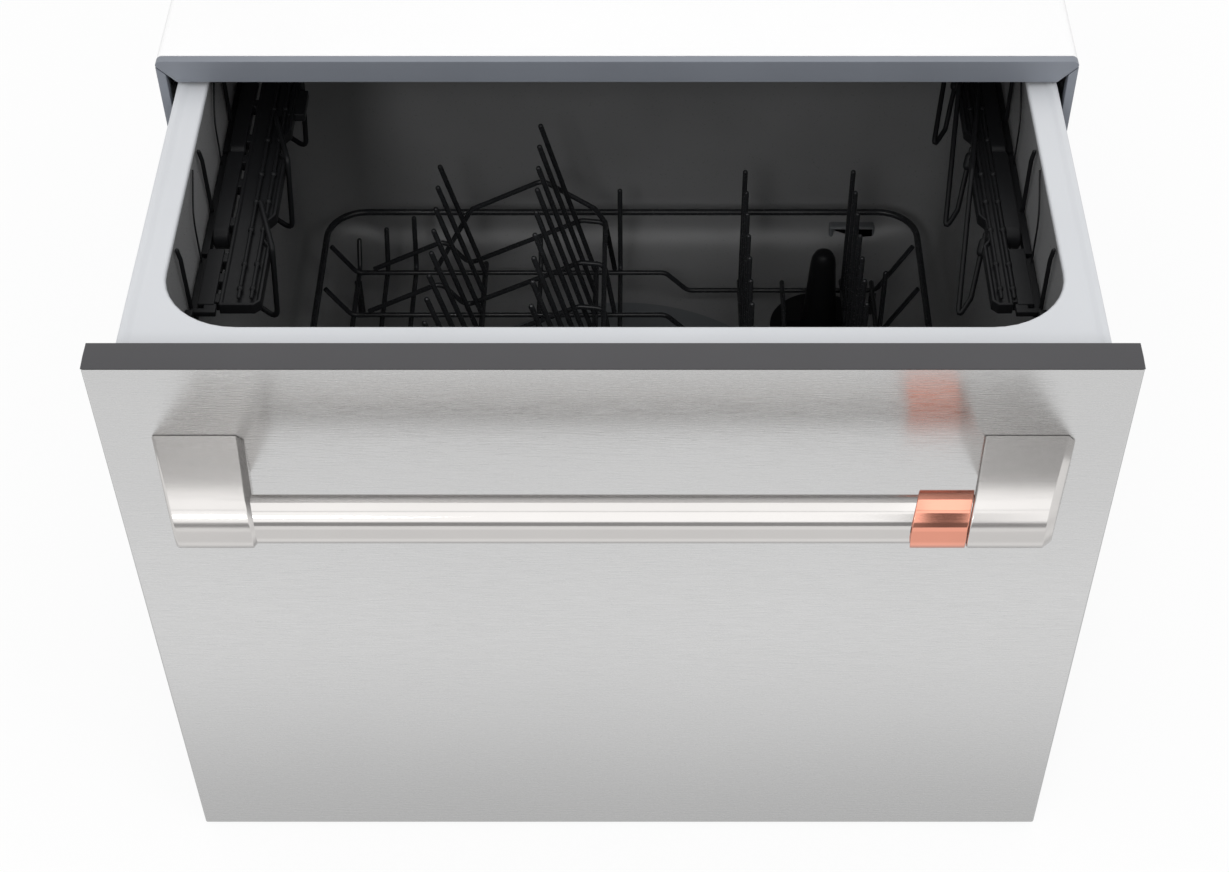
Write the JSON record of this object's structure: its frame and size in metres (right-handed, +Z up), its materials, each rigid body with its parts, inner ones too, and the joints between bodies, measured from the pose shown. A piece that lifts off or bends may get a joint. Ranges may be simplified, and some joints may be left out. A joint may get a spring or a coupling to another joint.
{
  "type": "dishwasher drawer",
  "caption": "Pull-out dishwasher drawer with brushed steel front, bar handle, wash tub, wire rack and cup shelves, running on telescopic slides in its cabinet.",
  "frame": {"origin": "middle of the footprint at floor level, with the drawer about half open", "axes": "+Z up, +Y from the drawer's front to the cabinet's back, +X to the right seen from the front"},
  "size_m": [0.599, 0.9002, 0.459],
  "materials": {
    "door_steel": "fine horizontal brushing",
    "handle_steel": "satin, brushed round the bar",
    "copper": "polished copper colour",
    "cap_grey": "satin dark grey",
    "bezel_grey": "satin slate grey",
    "rim_grey": "satin light grey",
    "tub_grey": "satin dark grey",
    "coated_wire": "nylon coated steel wire",
    "dark_plastic": "moulded",
    "mid_plastic": "moulded",
    "white_steel": "white powder coat",
    "white_plastic": "moulded",
    "zinc_steel": "zinc coated sheet",
    "rubber": "moulded"
  },
  "bodies": {
    "cabinet": {"cabinet_base": "zinc_steel", "cabinet_back": "zinc_steel", "cabinet_top": "white_steel", "cabinet_side_left": "zinc_steel", "cabinet_side_right": "zinc_steel", "bezel_top": "bezel_grey", "bezel_left": "bezel_grey", "bezel_right": "bezel_grey", "fixed_runner_left": "zinc_steel", "fixed_runner_right": "zinc_steel", "lid_actuator_left": "dark_plastic", "lid_actuator_right": "dark_plastic", "foot_front_left": "dark_plastic", "foot_front_right": "dark_plastic", "foot_back_left": "dark_plastic", "foot_back_right": "dark_plastic", "water_inlet_valve": "white_plastic", "drain_elbow": "dark_plastic", "mains_box": "dark_plastic", "control_module": "mid_plastic"},
    "lid": {"tub_lid": "white_plastic", "lid_seal": "rubber"},
    "middle_runner_left_body": {"middle_runner_left": "zinc_steel"},
    "middle_runner_right_body": {"middle_runner_right": "zinc_steel"},
    "drawer": {"front_panel": "door_steel", "door_inner_frame": "dark_plastic", "door_top_cap": "cap_grey", "handle_post_left": "handle_steel", "handle_post_right": "handle_steel", "handle_bar": "handle_steel", "handle_ring": "copper", "tub": "tub_grey", "tub_rim": "rim_grey", "sliding_runner_left": "zinc_steel", "sliding_runner_right": "zinc_steel", "slide_bracket_left": "zinc_steel", "slide_bracket_right": "zinc_steel", "sump_housing": "dark_plastic", "pump_motor": "zinc_steel", "filter_plate": "mid_plastic", "heater_plate": "zinc_steel", "drain_pump": "dark_plastic", "inlet_hood": "mid_plastic", "rack_loop": "coated_wire", "rack_grid": "coated_wire", "rack_left_supports": "coated_wire", "tine_row_right_outer": "coated_wire", "dispenser_body": "mid_plastic", "cup_rail_left": "dark_plastic", "cup_rail_right": "dark_plastic"},
    "spray_arm_body": {"spray_arm": "mid_plastic"},
    "pump_rotor_body": {"pump_rotor": "mid_plastic"},
    "drain_filter_body": {"drain_filter": "mid_plastic"},
    "tine_row_right": {"tine_row_right_inner": "coated_wire"},
    "tine_row_left_in": {"tine_row_left_inner": "coated_wire"},
    "tine_row_left_out": {"tine_row_left_outer": "coated_wire"},
    "dispenser_lid_body": {"dispenser_lid": "mid_plastic"},
    "rinse_cap_body": {"rinse_cap": "dark_plastic"},
    "cup_shelf_left_body": {"cup_shelf_left": "dark_plastic"},
    "cup_shelf_right_body": {"cup_shelf_right": "dark_plastic"}
  },
  "joints": [
    {"name": "drawer_slide", "type": "slide", "parent": "cabinet", "child": "drawer", "axis": [0, -1, 0], "range_m": [-0.2615, 0.2485]},
    {"name": "middle_slide_left", "type": "slide", "parent": "cabinet", "child": "middle_runner_left_body", "axis": [0, -1, 0], "range_m": [-0.13075, 0.12425]},
    {"name": "middle_slide_right", "type": "slide", "parent": "cabinet", "child": "middle_runner_right_body", "axis": [0, -1, 0], "range_m": [-0.13075, 0.12425]},
    {"name": "lid_lower", "type": "slide", "parent": "cabinet", "child": "lid", "axis": [0, 0, -1], "range_m": [0, 0.0055]},
    {"name": "spray_arm_spin", "type": "hinge", "parent": "drawer", "child": "spray_arm_body", "pos_m": [0, -0.0959, 0.112], "axis": [0, 0, 1], "continuous": true},
    {"name": "pump_rotor_spin", "type": "hinge", "parent": "drawer", "child": "pump_rotor_body", "pos_m": [0, -0.0959, 0.07], "axis": [0, 0, 1], "continuous": true},
    {"name": "drain_filter_turn", "type": "hinge", "parent": "drawer", "child": "drain_filter_body", "pos_m": [0.159, 0.0271, 0.105], "axis": [0, 0, 1], "range_deg": [0, 90]},
    {"name": "right_tines_fold", "type": "hinge", "parent": "drawer", "child": "tine_row_right", "pos_m": [0.0955, -0.1, 0.1256], "axis": [0, -1, 0], "range_deg": [0, 68]},
    {"name": "left_tines_fold", "type": "hinge", "parent": "drawer", "child": "tine_row_left_in", "pos_m": [-0.021, -0.1, 0.1446], "axis": [0, -1, 0], "range_deg": [0, 62]},
    {"name": "left_outer_tines_fold", "type": "hinge", "parent": "drawer", "child": "tine_row_left_out", "pos_m": [-0.11, -0.1, 0.1446], "axis": [0, -1, 0], "range_deg": [0, 62]},
    {"name": "cup_shelf_left_fold", "type": "hinge", "parent": "drawer", "child": "cup_shelf_left_body", "pos_m": [-0.26374, -0.12, 0.39], "axis": [0, -1, 0], "range_deg": [0, 85]},
    {"name": "cup_shelf_right_fold", "type": "hinge", "parent": "drawer", "child": "cup_shelf_right_body", "pos_m": [0.26374, -0.12, 0.39], "axis": [0, 1, 0], "range_deg": [0, 85]},
    {"name": "dispenser_lid_open", "type": "hinge", "parent": "drawer", "child": "dispenser_lid_body", "pos_m": [-0.026, -0.31011, 0.331], "axis": [-1, 0, 0], "range_deg": [0, 95]},
    {"name": "rinse_cap_turn", "type": "hinge", "parent": "drawer", "child": "rinse_cap_body", "pos_m": [0.034, -0.31, 0.36], "axis": [0, 1, 0], "range_deg": [0, 90]}
  ],
  "couplings": [
    {"joint": "middle_slide_left", "follows": "drawer_slide", "ratio": 0.5},
    {"joint": "middle_slide_right", "follows": "drawer_slide", "ratio": 0.5},
    {"joint": "left_outer_tines_fold", "follows": "left_tines_fold", "ratio": 1}
  ]
}
